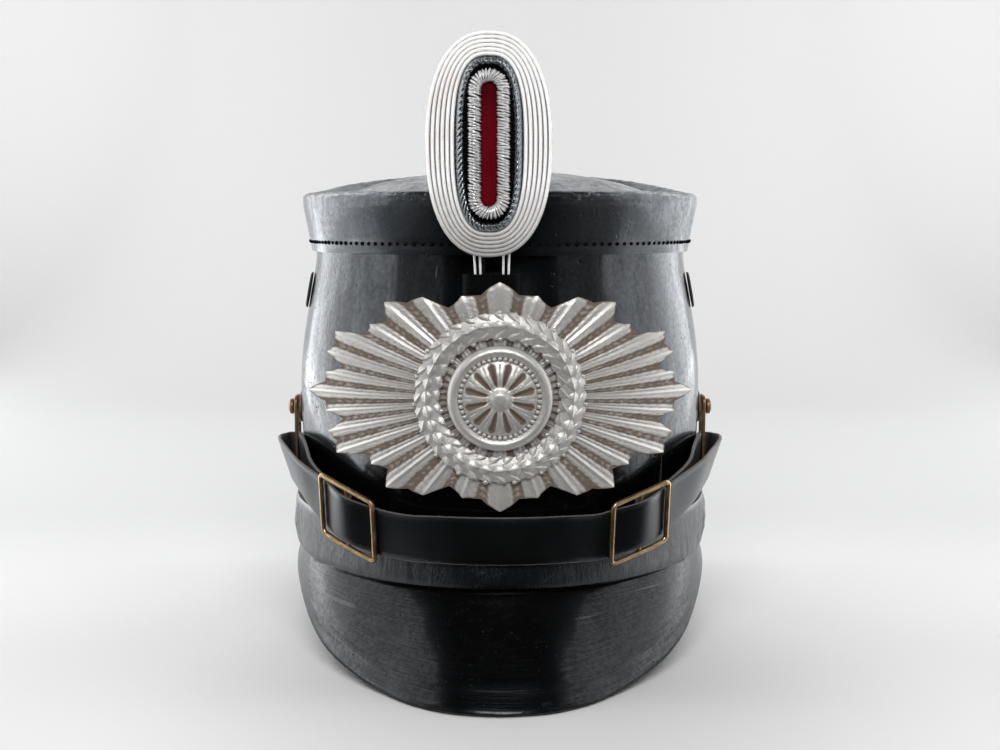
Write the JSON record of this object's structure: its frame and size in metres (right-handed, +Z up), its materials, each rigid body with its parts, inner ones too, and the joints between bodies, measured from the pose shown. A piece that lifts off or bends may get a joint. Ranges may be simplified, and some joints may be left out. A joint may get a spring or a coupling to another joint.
{
  "type": "shako",
  "caption": "Black lacquered leather shako with two peaks, chin strap with brass sliders, cast white-metal front plate and an oval cord cockade with a red velvet middle.",
  "frame": {"origin": "middle of the hat's bounding box, on the surface it stands on", "axes": "+Z up, -Y towards the front peak, +X towards the right of someone looking at the front"},
  "size_m": [0.1798, 0.2552, 0.2306],
  "materials": {
    "lacquered_leather": "gloss",
    "plain_leather": "satin",
    "brass": "worn",
    "white_metal": "cast, patinated",
    "silver_cord": "metallic thread",
    "black_cord": "silk",
    "velvet": "velvet",
    "steel_wire": "plain"
  },
  "bodies": {
    "root": {"crown_body": "lacquered_leather", "crown_top": "lacquered_leather", "front_peak": "lacquered_leather", "rear_peak": "lacquered_leather", "base_band": "plain_leather", "chin_strap": "plain_leather", "prong_sleeve": "plain_leather", "vent_left": "plain_leather", "vent_right": "plain_leather", "slider_left": "brass", "slider_right": "brass", "side_post_left": "brass", "side_post_right": "brass", "strap_ring_left": "brass", "strap_ring_right": "brass", "plate_rays": "white_metal", "plate_wreath": "white_metal", "plate_boss": "white_metal", "cockade_cords": "silver_cord", "cockade_bullion": "silver_cord", "cockade_black_cord": "black_cord", "cockade_velvet": "velvet", "prong_left": "steel_wire", "prong_right": "steel_wire"}
  },
  "joints": []
}
